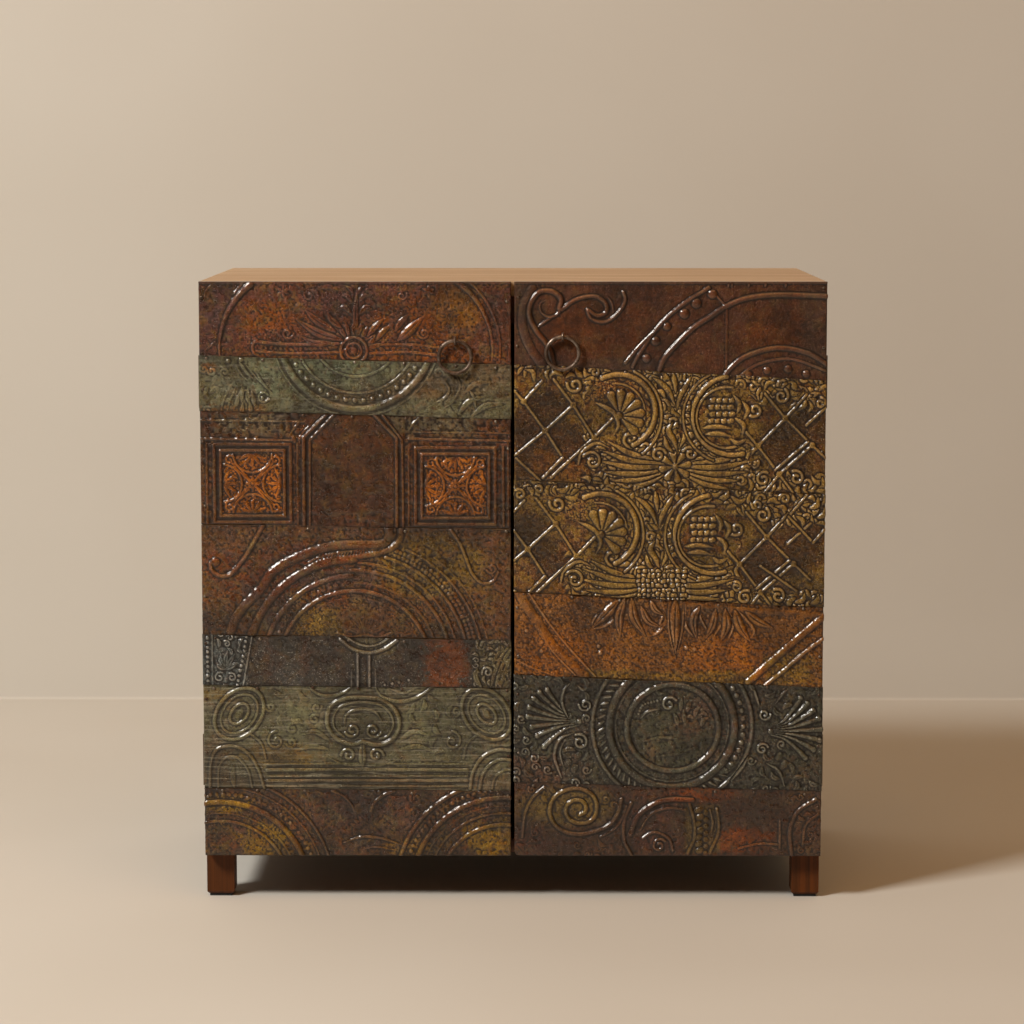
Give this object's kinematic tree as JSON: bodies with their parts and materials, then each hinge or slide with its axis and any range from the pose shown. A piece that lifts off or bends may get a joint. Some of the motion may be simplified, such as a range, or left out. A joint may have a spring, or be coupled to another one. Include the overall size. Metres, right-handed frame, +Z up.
{
  "type": "wooden cabinet",
  "caption": "Low wooden cabinet on four square legs, with overlay doors clad in embossed tin strips, ring pulls and butt hinges.",
  "frame": {"origin": "middle of the footprint, on the floor", "axes": "+Z up, +X to the right seen from the front, doors face -Y"},
  "size_m": [0.9074, 0.515, 0.905],
  "materials": {
    "light_wood": "oiled, fine straight grain",
    "dark_wood": "dark reddish-brown stain, satin",
    "pad_rubber": "matt",
    "tin_rust_brown": "worn old paint and rust, satin",
    "tin_verdigris": "grey-green worn paint",
    "tin_orange_brown": "rust-brown worn paint",
    "tin_black_brown": "dark brown, nearly black",
    "tin_gold_brown": "gold over dark brown, rubbed",
    "tin_red_brown": "dark red-brown, satin",
    "tin_orange_rust": "orange rust, sandy",
    "tin_blue_green": "blue-green black, worn bright edges",
    "dark_iron": "dark, rubbed bright on the edges",
    "zinc_steel": "plain zinc plate",
    "catch_plastic": "brown moulded"
  },
  "bodies": {
    "cabinet": {"front_left_post": "dark_wood", "front_right_post": "dark_wood", "back_left_post": "dark_wood", "back_right_post": "dark_wood", "foot_pads": "pad_rubber", "top_board": "light_wood", "bottom_board": "dark_wood", "shelf": "light_wood", "left_shelf_cleat": "light_wood", "right_shelf_cleat": "light_wood", "left_upper_rail": "dark_wood", "left_lower_rail": "dark_wood", "left_panel": "dark_wood", "right_upper_rail": "dark_wood", "right_lower_rail": "dark_wood", "right_panel": "dark_wood", "back_upper_rail": "dark_wood", "back_lower_rail": "dark_wood", "back_panel": "light_wood", "front_top_rail": "dark_wood", "left_upper_post_leaf": "dark_iron", "left_lower_post_leaf": "dark_iron", "right_upper_post_leaf": "dark_iron", "right_lower_post_leaf": "dark_iron", "hinge_pins": "dark_iron", "left_catch": "catch_plastic", "right_catch": "catch_plastic"},
    "left_door": {"left_door_core": "light_wood", "left_tin_strip_1": "tin_rust_brown", "left_tin_strip_2": "tin_verdigris", "left_tin_strip_3": "tin_orange_brown", "left_tin_strip_4": "tin_rust_brown", "left_tin_strip_5": "tin_black_brown", "left_tin_strip_6": "tin_verdigris", "left_tin_strip_7": "tin_gold_brown", "left_upper_door_leaf": "dark_iron", "left_lower_door_leaf": "dark_iron", "left_pull_eye": "dark_iron", "left_pull_washer": "zinc_steel", "left_pull_nut": "zinc_steel", "left_strike_plate": "zinc_steel"},
    "left_ring": {"left_ring": "dark_iron"},
    "right_door": {"right_door_core": "light_wood", "right_tin_strip_1": "tin_red_brown", "right_tin_strip_2": "tin_gold_brown", "right_tin_strip_3": "tin_gold_brown", "right_tin_strip_4": "tin_orange_rust", "right_tin_strip_5": "tin_blue_green", "right_tin_strip_6": "tin_rust_brown", "right_upper_door_leaf": "dark_iron", "right_lower_door_leaf": "dark_iron", "right_pull_eye": "dark_iron", "right_pull_washer": "zinc_steel", "right_pull_nut": "zinc_steel", "right_strike_plate": "zinc_steel"},
    "right_ring": {"right_ring": "dark_iron"}
  },
  "joints": [
    {"name": "left_door_hinge", "type": "hinge", "parent": "cabinet", "child": "left_door", "pos_m": [-0.4505, -0.22125, 0.2], "axis": [0, 0, -1], "range_deg": [0, 170]},
    {"name": "right_door_hinge", "type": "hinge", "parent": "cabinet", "child": "right_door", "pos_m": [0.4505, -0.22125, 0.2], "axis": [0, 0, 1], "range_deg": [0, 170]},
    {"name": "left_ring_swing", "type": "hinge", "parent": "left_door", "child": "left_ring", "pos_m": [-0.0825, -0.251, 0.821], "axis": [-1, 0, 0], "range_deg": [0, 150]},
    {"name": "right_ring_swing", "type": "hinge", "parent": "right_door", "child": "right_ring", "pos_m": [0.0715, -0.251, 0.8265], "axis": [-1, 0, 0], "range_deg": [0, 150]}
  ]
}
